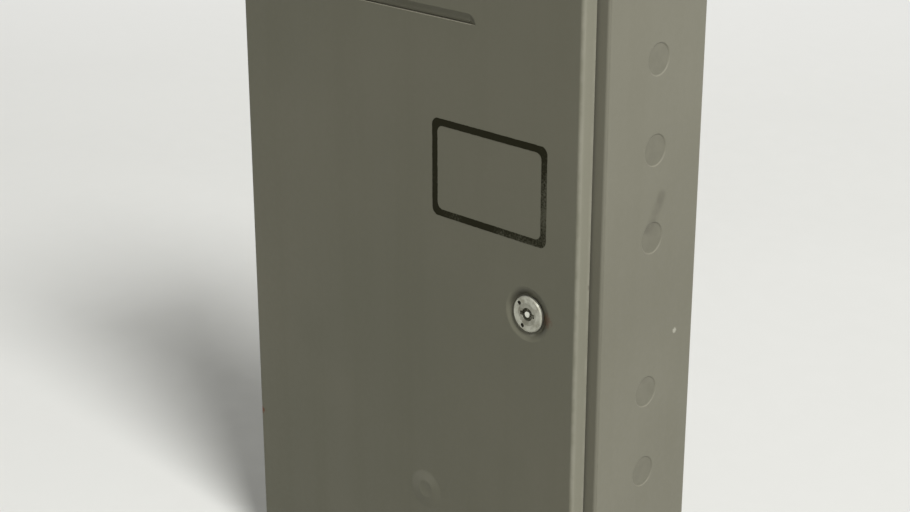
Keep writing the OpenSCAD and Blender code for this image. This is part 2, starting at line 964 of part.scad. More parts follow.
module lock_cam() {
    color(zinc)
        at_lock()
            extrude_y(cam_front, cam_back)
                difference() {
                    union() {
                        circle(cam_hub_r);
                        translate([-cam_w / 2, -(cam_reach - cam_w / 2)])
                            square([cam_w, cam_reach - cam_w / 2]);
                        translate([0, -(cam_reach - cam_w / 2)])
                            circle(cam_w / 2);
                    }
                    square(cam_square + 2 * hole_gap, center = true);
                }
}

module cam_screw() {
    color(zinc)
        at_lock() {
            rod_y(cam_back - cam_screw_len, cam_back + eps, cam_screw_d / 2);
            rod_y(cam_back, cam_back + cam_screw_flange_t, cam_screw_flange_r);
            hex_y(cam_back, cam_back + cam_screw_head_h, cam_screw_af);
        }
}

// Mounting plate

module at_plate_studs() {
    for (p = plate_stud_places)
        translate([p[0], 0, p[1]])
            children();
}

module mounting_plate() {
    color(zinc)
        difference() {
            translate([0, 0, mid_z])
                extrude_y(plate_front, plate_back)
                    rounded_rect(plate_w, plate_h, plate_corner_r);
            at_plate_studs()
                rod_y(plate_front - eps, plate_back + eps, stud_d / 2 + hole_gap);
            for (z = [upper_rail_z, lower_rail_z], s = [-1, 1])
                translate([s * rail_screw_x, 0, z])
                    rod_y(plate_front - eps, plate_back + eps, rail_screw_d / 2 + hole_gap);
            for (z = [neutral_z, earth_z], x = bar_support_xs)
                translate([x, 0, z])
                    rod_y(plate_front - eps, plate_back + eps, bar_screw_d / 2 + hole_gap);
        }
}

module plate_studs() {
    color(zinc)
        at_plate_studs()
            translate([0, back_in, 0])
                stud(spacer_len + plate_t + nut_h + stud_spare);
}

module plate_spacers() {
    color(zinc)
        at_plate_studs()
            difference() {
                rod_y(plate_back, back_in, spacer_d / 2);
                rod_y(plate_back - eps, back_in + eps, stud_d / 2 + hole_gap);
            }
}

module plate_nuts() {
    color(zinc)
        at_plate_studs()
            translate([0, plate_front, 0])
                flange_nut();
}

module at_case_earth() {
    translate([-side_in, 0, case_stud_z])
        rotate([0, 0, 90])
            children();
}

module case_earth_stud() {
    color(zinc)
        at_case_earth()
            stud(case_stud_len);
}

module case_earth_nut() {
    color(zinc)
        at_case_earth()
            flange_nut();
}

// Rails and what clips on them. Rail profiles use x = 0 on the rail's face, with +x to the back

module rail_profile() {
    half = rail_h / 2;
    base = rail_base_h / 2;
    polygon([
        [0, half],
        [0, base - rail_t],
        [rail_d - rail_t, base - rail_t],
        [rail_d - rail_t, -base + rail_t],
        [0, -base + rail_t],
        [0, -half],
        [rail_t, -half],
        [rail_t, -base],
        [rail_d, -base],
        [rail_d, base],
        [rail_t, base],
        [rail_t, half]
    ]);
}

module rail(z) {
    difference() {
        translate([0, rail_face, z])
            extrude_x(rail_len)
                rail_profile();
        for (i = [-rail_slots : rail_slots])
            translate([i * rail_slot_pitch, 0, z])
                extrude_y(plate_front - rail_t - eps, plate_front + eps)
                    slot_outline(rail_slot_len, rail_slot_w);
    }
}

module upper_rail() {
    color(zinc)
        rail(upper_rail_z);
}

module lower_rail() {
    color(zinc)
        rail(lower_rail_z);
}

module pan_screw(head_d, head_h, d, length) {
    rod_y(-eps, length, d / 2);
    difference() {
        rod_y(-head_h, 0, head_d / 2);
        for (a = [0, 90])
            rotate([0, a, 0])
                translate([0, -head_h, 0])
                    cube([head_d * 0.6, screw_slot_depth * 2, screw_slot_w], center = true);
    }
}

module rail_screws() {
    color(zinc)
        for (z = [upper_rail_z, lower_rail_z], s = [-1, 1])
            translate([s * rail_screw_x, plate_front - rail_t, z])
                pan_screw(rail_screw_head_d, rail_screw_head_h, rail_screw_d, rail_t + plate_t);
}

// Upper half of the foot that hooks over a rail's flange, for a piece of the given height
function foot_points(h) = [
    [0, rail_h / 2 + rail_fit],
    [rail_t + rail_fit, rail_h / 2 + rail_fit],
    [rail_t + rail_fit, rail_h / 2 + rail_fit - hook_reach],
    [rail_t + rail_fit + hook_t, rail_h / 2 + rail_fit - hook_reach],
    [foot_d, rail_h / 2 + rail_fit],
    [foot_d, h / 2 - foot_taper],
    [foot_d - foot_taper, h / 2]
];

// Closes an upper half with its mirror image
function both_halves(upper) = concat(
    upper,
    [for (i = [len(upper) - 1 : -1 : 0]) [upper[i][0], -upper[i][1]]]
);

module switch_profile() {
    polygon(both_halves(concat(foot_points(switch_h), [
        [-shoulder_d, switch_h / 2],
        [-shoulder_d, nose_h / 2],
        [-nose_d, nose_h / 2 - nose_taper]
    ])));
}

module terminal_profile() {
    polygon(both_halves(concat(foot_points(terminal_h), [
        [-terminal_shoulder_d, terminal_h / 2],
        [-terminal_d, terminal_nose_h / 2],
        [-terminal_d, marker_groove_h / 2],
        [marker_groove_d - terminal_d, marker_groove_h / 2]
    ])));
}

module stop_profile() {
    polygon(both_halves(concat(foot_points(stop_h), [
        [-stop_d + foot_taper, stop_h / 2],
        [-stop_d, stop_h / 2 - foot_taper]
    ])));
}

module rail_end_stops() {
    rows = [[upper_rail_z, row_w], [lower_rail_z, terminal_row_w]];
    color(terminal_plastic)
        for (row = rows, s = [-1, 1])
            translate([s * (row[1] + stop_w + module_gap) / 2, rail_face, row[0]])
                extrude_x(stop_w)
                    stop_profile();
}

// Moulded case of a switch with the given number of modules and width of lever slot
module switch_case(modules, slot) {
    translate([0, rail_face, 0])
        difference() {
            extrude_x(modules * module_w - module_gap)
                switch_profile();
            translate([0, -lever_d, 0]) {
                rod_x(-slot / 2, slot / 2, pocket_r);
                translate([-slot / 2, -(nose_d - lever_d) - eps, -lever_swing_z])
                    cube([slot, nose_d - lever_d + eps, 2 * lever_swing_z]);
                rod_x(-slot / 2 - lever_pin_len, slot / 2 + lever_pin_len, lever_pin_d / 2 + lever_pin_fit);
            }
            for (i = [0 : modules - 1], s = [-1, 1])
                translate([(i - (modules - 1) / 2) * module_w, 0, 0]) {
                    translate([0, 0, s * access_z])
                        rod_y(-shoulder_d - eps, -shoulder_d + access_depth, access_d / 2);
                    translate([-entry_w / 2, -entry_d - entry_h / 2, s * switch_h / 2 - entry_depth])
                        cube([entry_w, entry_h, 2 * entry_depth]);
                }
        }
}

module switch_lever(width) {
    tip_r = lever_tip_t / 2;
    extrude_x(width) {
        circle(drum_r);
        rotate(-lever_angle) {
            polygon([
                [0, lever_root_t / 2],
                [-lever_len + tip_r, tip_r],
                [-lever_len + tip_r, -tip_r],
                [0, -lever_root_t / 2]
            ]);
            translate([-lever_len + tip_r, 0])
                circle(tip_r);
        }
    }
    pin_half = width / 2 + lever_pin_len;
    rod_x(-pin_half, pin_half, lever_pin_d / 2);
}

module main_switch_case() {
    color(case_plastic)
        translate([main_x, 0, upper_rail_z])
            switch_case(main_modules, main_slot_w);
}

module breaker_case(i) {
    color(case_plastic)
        translate([pole_xs[main_modules + i - 1], 0, upper_rail_z])
            switch_case(1, slot_w);
}

module main_switch_lever() {
    color(lever_red)
        translate([main_x, lever_y, upper_rail_z])
            switch_lever(main_lever_w);
}

module breaker_lever(i) {
    color(lever_black)
        translate([pole_xs[main_modules + i - 1], lever_y, upper_rail_z])
            switch_lever(lever_w);
}

module switch_screws() {
    seat_y = rail_face - shoulder_d + access_depth;
    color(zinc)
        for (x = pole_xs, s = [-1, 1])
            translate([x, seat_y, upper_rail_z + s * access_z])
                difference() {
                    rod_y(-screw_head_t, 0, screw_head_d / 2);
                    translate([0, -screw_head_t, 0])
                        cube([screw_head_d + eps, 2 * screw_slot_depth, screw_slot_w], center = true);
                }
}

// Comb that feeds the breakers from the main switch, standing in an insulating cover

module comb_busbar() {
    color(copper)
        translate([0, entry_y - comb_t / 2, 0]) {
            translate([comb_x - comb_len / 2, 0, comb_top - comb_h])
                cube([comb_len, comb_t, comb_h]);
            for (x = comb_xs)
                translate([x - prong_w / 2, 0, comb_top - eps])
                    cube([prong_w, comb_t, comb_gap + entry_depth + eps]);
        }
}

module comb_cover() {
    cover_len = comb_len + 2 * comb_margin;
    cover_d = comb_t + 2 * comb_wall;
    color(terminal_plastic)
        translate([comb_x - cover_len / 2, entry_y - cover_d / 2, comb_top - comb_h - comb_wall])
            difference() {
                cube([cover_len, cover_d, comb_h + comb_wall]);
                translate([comb_margin - hole_gap, comb_wall - hole_gap, comb_wall])
                    cube([comb_len + 2 * hole_gap, comb_t + 2 * hole_gap, comb_h + eps]);
            }
}

// Terminals

module terminal_row(x0, count, pitch) {
    for (i = [0 : count - 1])
        translate([x0 + (i + 0.5) * pitch, rail_face, lower_rail_z])
            difference() {
                extrude_x(pitch - module_gap)
                    terminal_profile();
                for (s = [-1, 1]) {
                    translate([0, 0, s * (terminal_nose_h / 2 - terminal_hole_inset)])
                        rod_y(-terminal_d - eps, terminal_hole_depth - terminal_d, terminal_hole_d / 2);
                    translate([0, -terminal_wire_d, s * (terminal_h / 2 - terminal_hole_depth / 2)])
                        cylinder(h = terminal_hole_depth + eps, d = terminal_hole_d, center = true);
                }
            }
}

module terminal_blocks() {
    color(terminal_plastic)
        terminal_row(terminal_x, terminal_count, terminal_w);
}

module earth_terminals() {
    color(earth_plastic)
        terminal_row(earth_terminal_x, earth_terminal_count, earth_terminal_w);
}

// Bars: each is drawn with z = 0 on its middle

module bar(y_back) {
    difference() {
        translate([-bar_len / 2, y_back - bar_t, -bar_h / 2])
            cube([bar_len, bar_t, bar_h]);
        for (x = concat(bar_screw_xs, bar_support_xs))
            translate([x, 0, 0])
                rod_y(y_back - bar_t - eps, y_back + eps, bar_screw_d / 2 + hole_gap);
    }
}

// Clamp screws along a bar, and the two long ones through its supports into the plate
module bar_screw_set(y_back) {
    for (x = bar_screw_xs)
        translate([x, y_back - bar_t, 0])
            pan_screw(bar_screw_head_d, bar_screw_head_h, bar_screw_d, bar_t);
    for (x = bar_support_xs)
        translate([x, y_back - bar_t, 0])
            pan_screw(bar_screw_head_d, bar_screw_head_h, bar_screw_d, plate_back - y_back + bar_t);
}

module neutral_bar() {
    color(brass)
        translate([0, 0, neutral_z])
            bar(plate_front - insulator_h);
}

module neutral_bar_screws() {
    color(zinc)
        translate([0, 0, neutral_z])
            bar_screw_set(plate_front - insulator_h);
}

module neutral_bar_insulators() {
    r = insulator_d / 2;
    bore_r = bar_screw_d / 2 + hole_gap;
    step = insulator_h / 5;
    color(insulator_blue)
        for (x = bar_support_xs)
            translate([x, plate_front - insulator_h, neutral_z])
                turn_y()
                    polygon([
                        [bore_r, 0],
                        [r - insulator_waist, 0],
                        [r, step],
                        [r - insulator_waist, 2 * step],
                        [r - insulator_waist, 3 * step],
                        [r, 4 * step],
                        [r, insulator_h],
                        [bore_r, insulator_h]
                    ]);
}

module earth_bar() {
    color(brass)
        translate([0, 0, earth_z])
            bar(plate_front - block_h);
}

module earth_bar_screws() {
    color(zinc)
        translate([0, 0, earth_z])
            bar_screw_set(plate_front - block_h);
}

module earth_bar_blocks() {
    color(brass)
        for (x = bar_support_xs)
            translate([x, 0, earth_z])
                difference() {
                    extrude_y(plate_front - block_h, plate_front)
                        square(block_w, center = true);
                    rod_y(plate_front - block_h - eps, plate_front + eps, bar_screw_d / 2 + hole_gap);
                }
}

cabinet_body();
hinge_lug_top();
hinge_lug_bottom();
hinge_pin_top();
hinge_pin_bottom();
mounting_plate();
plate_studs();
plate_spacers();
plate_nuts();
upper_rail();
lower_rail();
rail_screws();
rail_end_stops();
main_switch_case();
breaker_case(1);  // breaker_case_1
breaker_case(2);  // breaker_case_2
breaker_case(3);  // breaker_case_3
breaker_case(4);  // breaker_case_4
breaker_case(5);  // breaker_case_5
switch_screws();
comb_busbar();
comb_cover();
terminal_blocks();
earth_terminals();
neutral_bar();
neutral_bar_insulators();
neutral_bar_screws();
earth_bar();
earth_bar_blocks();
earth_bar_screws();
case_earth_stud();
case_earth_nut();
door_panel();
door_gasket();
hinge_bush_top();
hinge_bush_bottom();
lock_housing();
lock_seal();
lock_nut();
door_earth_stud();
door_earth_nut();
lock_plug();
lock_cam();
cam_screw();
main_switch_lever();
breaker_lever(1);  // breaker_lever_1
breaker_lever(2);  // breaker_lever_2
breaker_lever(3);  // breaker_lever_3
breaker_lever(4);  // breaker_lever_4
breaker_lever(5);  // breaker_lever_5
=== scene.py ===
import json
import math

import bmesh
import bpy
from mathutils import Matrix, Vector, noise


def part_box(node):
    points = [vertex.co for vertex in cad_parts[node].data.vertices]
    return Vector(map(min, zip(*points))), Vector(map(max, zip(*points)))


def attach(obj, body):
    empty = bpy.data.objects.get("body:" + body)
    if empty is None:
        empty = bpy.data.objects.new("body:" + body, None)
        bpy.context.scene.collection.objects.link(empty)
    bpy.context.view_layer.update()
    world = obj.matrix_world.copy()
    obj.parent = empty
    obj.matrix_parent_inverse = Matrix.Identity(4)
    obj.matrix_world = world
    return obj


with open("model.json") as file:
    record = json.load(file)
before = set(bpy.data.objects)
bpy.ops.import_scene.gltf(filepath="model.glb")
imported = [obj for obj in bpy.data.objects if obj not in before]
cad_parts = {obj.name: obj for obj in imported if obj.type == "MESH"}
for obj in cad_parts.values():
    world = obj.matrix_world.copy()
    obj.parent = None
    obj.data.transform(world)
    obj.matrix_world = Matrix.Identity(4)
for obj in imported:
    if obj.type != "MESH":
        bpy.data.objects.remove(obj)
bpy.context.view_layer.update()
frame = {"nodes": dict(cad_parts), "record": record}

MM = 0.001
# Y of the door's flat face; the rims pressed in it stand a little proud
DOOR_FACE = -58.5 * MM

# Camera: the photograph's own place and angle, in metres and degrees
IMAGE_W = 910
FOCAL_PX = 1800.3
SENSOR_MM = 36.0
CAMERA_AT = Vector((0.7939, -0.8225, 0.6863))
CAMERA_AZIMUTH = 44.26
CAMERA_PITCH = 20.61

# Ranges that a mask fades over: the middle of a noise and of two added, and which way a face looks.
# Here and below, such a range may go on with the two values that the mask fades between.
MID = (0.3, 0.7)
MID_OF_TWO = (0.7, 1.3)
TO_FRONT = (0.0, -0.3)
TO_TOP = (0.35, 0.95)
TO_GROUND = (-0.15, -0.4)

# Spots and strokes: the rim's raggedness, and the share of the radius that is full
SPOT_SCALE = 900.0
SPOT_RAGGED = (*MID, 0.55, 1.0)
SPOT_CORE = 0.35
STROKE_CORE = 0.2
BEVEL_SAMPLES = 6


def srgb(red, green, blue):
    """A colour written as 0 to 255 screen values, as the linear values that shaders use."""
    def linear(value):
        value /= 255.0
        return value / 12.92 if value <= 0.04045 else ((value + 0.055) / 1.055) ** 2.4

    return (linear(red), linear(green), linear(blue), 1.0)


def middle(node):
    """The middle of a CAD node's box."""
    low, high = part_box(node)
    return (low + high) / 2


class Shader:
    """One node material: its Principled shader and the nodes that feed it, in object coordinates."""

    def __init__(self, name):
        self.material = bpy.data.materials.new(name)
        self.material.use_nodes = True
        self.tree = self.material.node_tree
        self.bsdf = self.tree.nodes["Principled BSDF"]
        own = self.add("ShaderNodeTexCoord").outputs
        self.place = own["Object"]
        self.direction = own["Normal"]

    def add(self, kind, **settings):
        node = self.tree.nodes.new(kind)
        for key, value in settings.items():
            setattr(node, key, value)
        return node

    def feed(self, socket, value):
        """Links a socket to another node's output, or sets its own value."""
        if isinstance(value, bpy.types.NodeSocket):
            self.tree.links.new(value, socket)
        else:
            socket.default_value = value

    def set(self, **values):
        """Feeds the Principled shader's sockets, named in lower case with _ for a space."""
        sockets = {socket.name.lower().replace(" ", "_"): socket for socket in self.bsdf.inputs}
        for key, value in values.items():
            self.feed(sockets[key], value)
        return self

    def math(self, operation, *values):
        node = self.add("ShaderNodeMath", operation=operation)
        for socket, value in zip(node.inputs, values):
            self.feed(socket, value)
        return node.outputs[0]

    def product(self, first, *others):
        """Masks multiplied with each other."""
        for other in others:
            first = self.math("MULTIPLY", first, other)
        return first

    def vector(self, operation, *values):
        node = self.add("ShaderNodeVectorMath", operation=operation)
        for socket, value in zip(node.inputs, values):
            self.feed(socket, value)
        return node.outputs["Value" if operation in ("DOT_PRODUCT", "DISTANCE", "LENGTH") else "Vector"]

    def axes(self, vector):
        node = self.add("ShaderNodeSeparateXYZ")
        self.feed(node.inputs[0], vector)
        return node.outputs

    def span(self, value, low, high, out_low=0.0, out_high=1.0):
        """Carries low..high smoothly to out_low..out_high, and holds the ends."""
        node = self.add("ShaderNodeMapRange", interpolation_type="SMOOTHSTEP")
        for socket, part in zip(node.inputs, (value, low, high, out_low, out_high)):
            self.feed(socket, part)
        return node.outputs["Result"]

    def noise(self, scale, detail=2.0, stretch=None):
        node = self.add("ShaderNodeTexNoise")
        place = self.vector("MULTIPLY", self.place, stretch) if stretch else self.place
        self.feed(node.inputs["Vector"], place)
        self.feed(node.inputs["Scale"], scale)
        self.feed(node.inputs["Detail"], detail)
        return node.outputs["Fac"]

    def cells(self, scale, output):
        node = self.add("ShaderNodeTexVoronoi")
        self.feed(node.inputs["Vector"], self.place)
        self.feed(node.inputs["Scale"], scale)
        return node.outputs[output]

    def mix(self, amount, first, second):
        node = self.add("ShaderNodeMix", data_type="RGBA")
        self.feed(node.inputs["Factor"], amount)
        first_colour, second_colour = [socket for socket in node.inputs if socket.type == "RGBA"]
        self.feed(first_colour, first)
        self.feed(second_colour, second)
        return [socket for socket in node.outputs if socket.type == "RGBA"][0]

    def bump(self, height, distance, normal=None):
        node = self.add("ShaderNodeBump")
        self.feed(node.inputs["Distance"], distance)
        self.feed(node.inputs["Height"], height)
        if normal is not None:
            self.feed(node.inputs["Normal"], normal)
        return node.outputs["Normal"]

    def soft_edges(self, radius):
        """The surface's normal, rounded over at sharp edges."""
        node = self.add("ShaderNodeBevel", samples=BEVEL_SAMPLES)
        self.feed(node.inputs["Radius"], radius)
        return node.outputs["Normal"]

    def facing(self):
        """The X, Y and Z of the way that the surface looks, in object coordinates."""
        return self.axes(self.direction)

    def facing_up(self):
        """1 on faces that look up, 0 on walls."""
        return self.span(self.facing()[2], *TO_TOP)

    def spot(self, centre, radius):
        """1 at a point of the object, fading to 0 a radius away, with a ragged rim."""
        ragged_rim = self.span(self.noise(SPOT_SCALE), *SPOT_RAGGED)
        away = self.vector("DISTANCE", self.place, tuple(centre))
        return self.span(self.math("DIVIDE", away, ragged_rim), radius, radius * SPOT_CORE)

    def stroke(self, start, end, radius):
        """1 along a line on the object, fading to 0 a radius away."""
        line = end - start
        reach = self.vector("SUBTRACT", self.place, tuple(start))
        along = self.vector("DOT_PRODUCT", reach, tuple(line / line.length_squared))
        along = self.math("MINIMUM", self.math("MAXIMUM", along, 0.0), 1.0)
        nearest = self.add("ShaderNodeVectorMath", operation="SCALE")
        nearest.inputs[0].default_value = line
        self.feed(nearest.inputs["Scale"], along)
        away = self.vector("DISTANCE", reach, nearest.outputs["Vector"])
        return self.span(away, radius, radius * STROKE_CORE)

    def inset(self, node):
        """How deep a point lies under the nearer side of a node's box, along X, Y and Z."""
        low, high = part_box(node)
        away = self.vector("ABSOLUTE", self.vector("SUBTRACT", self.place, tuple(middle(node))))
        return self.axes(self.vector("SUBTRACT", tuple((high - low) / 2), away))

    def edge_distance(self, node):
        """How far a point on a box-shaped node is from the box's nearest edge."""
        x, y, z = self.inset(node)
        nearer = self.math("MINIMUM", x, y)
        further = self.math("MAXIMUM", x, y)
        return self.math("MAXIMUM", nearer, self.math("MINIMUM", further, z))

    def off_axis(self, node):
        """The way to a point from the line that runs front to back through a node's middle."""
        away = self.vector("SUBTRACT", self.place, tuple(middle(node)))
        return self.vector("MULTIPLY", away, (1.0, 0.0, 1.0))


# Paint: colours, noise scales, heights of its relief and ranges of its wear
PAINT_DEEP = srgb(119, 117, 103)
PAINT_PALE = srgb(125, 123, 109)
DOOR_DEEP = srgb(116, 115, 99)
DOOR_PALE = srgb(122, 120, 104)
PAINT_RUN = srgb(112, 110, 95)
# Pale paint: faded edges, and the painted highlight on the door's right fold, the weld mark's rim and the
# louvre's slope
PALE_EDGE_AND_HIGHLIGHT = srgb(146, 144, 130)
# Painted highlight on the lower left of the lock's dish
PAINTED_HIGHLIGHT = srgb(172, 170, 156)
PAINT_CHIP = srgb(86, 80, 68)
DUST = srgb(152, 148, 133)
CLOUD_SCALE = 6.0
RUN_STRETCH = (60.0, 60.0, 2.5)
RUN_SHOWS = (0.5, 0.85, 0.0, 0.15)
GRAIN_SCALE = 260.0
GRAIN_SHOWS = (0.55, 0.8, 0.0, 0.3)
PATCH_SCALE = 75.0
EDGE_BLEACHED = (3.2 * MM, 0.6 * MM)
BLEACH_PATCHES = (0.35, 0.65, 0.15, 0.7)
EDGE_CHIPPED = (1.8 * MM, 0.8 * MM)
CHIP_PATCHES = (0.66, 0.7)
DUST_CLOUDS = (*MID, 0.45, 0.85)
PEEL_SCALE = 420.0
PEEL_H = 0.05 * MM
WAVE_SCALE = 9.0
WAVE_H = 0.9 * MM
PAINT_ROUGH = (*MID_OF_TWO, 0.46, 0.6)
PAINT_SPECULAR = 0.3


def painted(name, node, deep, pale, marks):
    """Satin powder coat with a fine orange peel, faint rain runs, faded pale edges and a few chips."""
    s = Shader(name)
    cloud = s.noise(CLOUD_SCALE, detail=3.0)
    runs = s.noise(1.0, detail=3.0, stretch=RUN_STRETCH)
    grain = s.noise(GRAIN_SCALE)
    tone = s.mix(s.span(cloud, *MID), deep, pale)
    tone = s.mix(s.span(runs, *RUN_SHOWS), tone, PAINT_RUN)
    tone = s.mix(s.span(grain, *GRAIN_SHOWS), tone, pale)
    edge = s.edge_distance(node)
    patchy = s.noise(PATCH_SCALE, detail=4.0)
    faded_and_lit = s.product(s.span(edge, *EDGE_BLEACHED), s.span(patchy, *BLEACH_PATCHES))
    tone = s.mix(faded_and_lit, tone, PALE_EDGE_AND_HIGHLIGHT)
    chipped = s.product(s.span(edge, *EDGE_CHIPPED), s.span(patchy, *CHIP_PATCHES))
    tone = s.mix(chipped, tone, PAINT_CHIP)
    dusty = s.product(s.facing_up(), s.span(cloud, *DUST_CLOUDS))
    tone = s.mix(dusty, tone, DUST)
    # The marks add stains, rust and scuffs, and also painted shade and painted highlights
    for mask, colour in marks(s):
        tone = s.mix(mask, tone, colour)
    roughness = s.span(s.math("ADD", grain, runs), *PAINT_ROUGH)
    peel = s.bump(s.noise(PEEL_SCALE, detail=1.0), PEEL_H)
    wavy = s.bump(s.noise(WAVE_SCALE, detail=1.0), WAVE_H, peel)
    s.set(base_color=tone, roughness=roughness, specular_ior_level=PAINT_SPECULAR, normal=wavy)
    return s.material


# Marks on the case: places on its right side, as Y and Z, and the knockouts' depth under its sides
SCUFF = srgb(84, 81, 70)
SCUFF_FROM = (8 * MM, 335 * MM)
SCUFF_TO = (-3 * MM, 316 * MM)
SCUFF_R = 6 * MM
SCUFF_SCALE = 110.0
SCUFF_PATCHES = (*MID, 0.1, 0.45)
SPECK = srgb(172, 170, 156)
SPECK_AT = (27 * MM, 241 * MM)
SPECK_R = 3 * MM
# Painted shade, laid in the knockouts' recesses and under the rims of the lock's dish
PAINTED_SHADE = srgb(78, 76, 64)
KNOCKOUT_SINK = 0.5 * MM
KNOCKOUT_NEAR = (0.35 * MM, 0.1 * MM)
# Noise that breaks the knockouts' painted shade into patches
KNOCKOUT_SHADE_SCALE = 120.0
KNOCKOUT_SHADE_PATCHES = (*MID, 0.1, 0.24)


def case_marks(s):
    """Painted shade in the knockouts' recesses, and on the right side a scuff that runs down to one and a
    pale speck.
    """
    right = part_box("cabinet_body")[1].x
    scuff = s.stroke(Vector((right, *SCUFF_FROM)), Vector((right, *SCUFF_TO)), SCUFF_R)
    scuff = s.product(scuff, s.span(s.noise(SCUFF_SCALE, detail=3.0), *SCUFF_PATCHES))
    speck = s.spot((right, *SPECK_AT), SPECK_R)
    return [(knockout_shade(s), PAINTED_SHADE), (scuff, SCUFF), (speck, SPECK)]


def knockout_shade(s):
    """Painted shade on the faces that lie as deep under the case's sides and ends as its knockouts."""
    x, _, z = s.inset("cabinet_body")
    near = []
    for under in (x, z):
        away = s.math("ABSOLUTE", s.math("SUBTRACT", under, KNOCKOUT_SINK))
        near.append(s.span(away, *KNOCKOUT_NEAR))
    return s.product(s.math("MAXIMUM", *near), s.span(s.noise(KNOCKOUT_SHADE_SCALE, detail=3.0), *KNOCKOUT_SHADE_PATCHES))


# Marks on the door: radii, heights and depths. SKIN is how far under a face a spot's middle lies,
# the stain's place counts from the lock, and a WAY points from a middle to where a mark is strongest.
# Painted highlight on the door's faces that look right, its fold among them
FOLD_HIGHLIGHT = (0.5, 0.9, 0.0, 0.44)
RUST = srgb(112, 66, 38)
SKIN = 1 * MM
RUST_Z = 112 * MM
RUST_R = 5.5 * MM
STAIN_AT = (15 * MM, 0.5 * MM)
STAIN_R = 7.5 * MM
STAIN_SHARE = 0.5
# Painted shade under the dish's upper left and lower right rim, and a painted highlight on its lower left
DISH_RIM = (17.5 * MM, 14 * MM)
DISH_SHADE_WAY = (-0.71, 0.0, 0.71)
DISH_SHADE_THERE = (0.55, 0.95)
DISH_SHADE_OPPOSITE = (-0.5, -0.9, 0.0, 0.7)
DISH_FOOT = (15 * MM, 12.8 * MM)
DISH_HIGHLIGHT_WAY = (-0.57, 0.0, -0.82)
DISH_HIGHLIGHT_THERE = (0.45, 0.95)
# Painted highlight on the upper left of the weld mark's rim
WELD_RIM_INSIDE = (5 * MM, 8 * MM)
WELD_RIM_OUTSIDE = (14.5 * MM, 12 * MM)
WELD_WAY = (-0.57, 0.0, 0.82)
WELD_HIGHLIGHT = (-0.5, 0.8, 0.0, 0.32)
# Painted highlight on the louvre's down-facing slope, near the slit
LOUVRE_HIGHLIGHT = (0.7 * MM, 2 * MM, 0.0, 0.8)
LOUVRE_BOTTOM = (424 * MM, 428 * MM)
LOUVRE_TOP = (450 * MM, 446 * MM)


def door_marks(s):
    """A painted highlight on the right fold, painted shade and highlights in the pressed places, rust at
    the left edge, a stain by the lock.
    """
    # painted highlight on faces that look right, the fold among them
    fold = s.span(s.facing()[0], *FOLD_HIGHLIGHT)
    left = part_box("door_panel")[0].x
    rust = s.spot((left + SKIN, DOOR_FACE + SKIN, RUST_Z), RUST_R)
    lock = middle("lock_housing")
    stain = s.spot((lock.x + STAIN_AT[0], DOOR_FACE + SKIN, lock.z + STAIN_AT[1]), STAIN_R)
    stain = s.product(stain, STAIN_SHARE)
    pressed = [*dish_light_and_shade(s), weld_rim_highlight(s), louvre_slope_highlight(s)]
    return [(fold, PALE_EDGE_AND_HIGHLIGHT), *pressed, (rust, RUST), (stain, RUST)]


def dish_light_and_shade(s):
    """Painted shade under the dish's upper left and lower right rim, and a painted highlight on its lower
    left.
    """
    flat = s.off_axis("lock_housing")
    radius, way = s.vector("LENGTH", flat), s.vector("NORMALIZE", flat)
    shown = s.span(s.facing()[1], *TO_FRONT)
    across = s.vector("DOT_PRODUCT", way, DISH_SHADE_WAY)
    shade_amount = s.math("ADD", s.span(across, *DISH_SHADE_THERE), s.span(across, *DISH_SHADE_OPPOSITE))
    highlight_amount = s.span(s.vector("DOT_PRODUCT", way, DISH_HIGHLIGHT_WAY), *DISH_HIGHLIGHT_THERE)
    return [(s.product(shown, s.span(radius, *DISH_RIM), shade_amount), PAINTED_SHADE),
            (s.product(shown, s.span(radius, *DISH_FOOT), highlight_amount), PAINTED_HIGHLIGHT)]


def weld_rim_highlight(s):
    """A painted highlight on the upper left of the weld mark's rim."""
    flat = s.off_axis("door_earth_stud")
    radius, way = s.vector("LENGTH", flat), s.vector("NORMALIZE", flat)
    rim = s.product(s.span(radius, *WELD_RIM_INSIDE), s.span(radius, *WELD_RIM_OUTSIDE))
    shown = s.span(s.facing()[1], *TO_FRONT)
    faded_and_lit = s.span(s.vector("DOT_PRODUCT", way, WELD_WAY), *WELD_HIGHLIGHT)
    return s.product(rim, shown, faded_and_lit), PALE_EDGE_AND_HIGHLIGHT


def louvre_slope_highlight(s):
    """A painted highlight on the louvre's down-facing slope, towards the slit."""
    _, y, z = s.axes(s.place)
    _, out, up = s.facing()
    faded_and_lit = s.span(s.math("SUBTRACT", y, DOOR_FACE), *LOUVRE_HIGHLIGHT)
    slope = s.product(faded_and_lit, s.span(up, *TO_GROUND), s.span(out, *TO_FRONT))
    height = s.product(s.span(z, *LOUVRE_BOTTOM), s.span(z, *LOUVRE_TOP))
    return s.product(slope, height), PALE_EDGE_AND_HIGHLIGHT


# Metals: colours, noise scales, heights of their relief, and the lock's radii and depths
TARNISH_SCALE = 70.0
TARNISHED = (0.35, 0.7)
SCRATCH_STRETCH = (2600.0, 2600.0, 160.0)
SCRATCH_H = 0.02 * MM
METAL_ROUGH_SPREAD = (-0.08, 0.12)
METAL_EDGE_R = 0.25 * MM
LOCK_BRIGHT = srgb(184, 184, 172)
LOCK_DULL = srgb(150, 148, 135)
# Painted shade over the plug's face and its key pocket
LOCK_PLUG_SHADE = srgb(112, 110, 98)
# Painted glint on the pin at the plug's middle
LOCK_PIN_GLINT = srgb(225, 225, 215)
